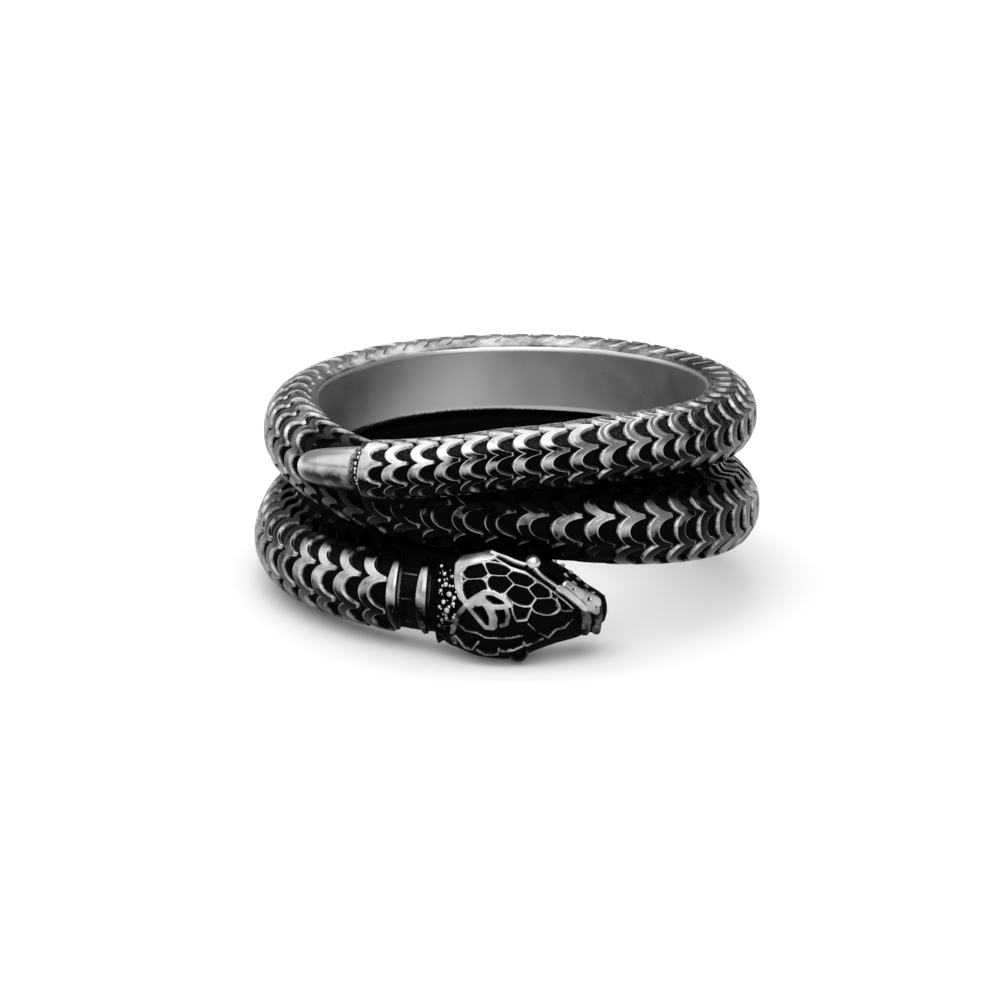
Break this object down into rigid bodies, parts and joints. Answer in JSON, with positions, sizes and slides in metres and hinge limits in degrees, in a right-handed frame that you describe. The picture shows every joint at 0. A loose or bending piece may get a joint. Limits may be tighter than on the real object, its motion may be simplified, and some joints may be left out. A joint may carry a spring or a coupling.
{
  "type": "snake wrap ring",
  "caption": "Steel finger ring shaped like a snake: a scaled body winds round the finger, ending in a plain tail tip above and a flat patterned head below.",
  "frame": {"origin": "on the finger hole's axis, at the level the head rests on", "axes": "+Z along the finger hole, towards the tail; the head faces -Y"},
  "size_m": [0.0248, 0.0264, 0.0115],
  "materials": {
    "steel": "polished ridges over blackened recesses"
  },
  "bodies": {
    "root": {"snake_ring": "steel"}
  },
  "joints": []
}
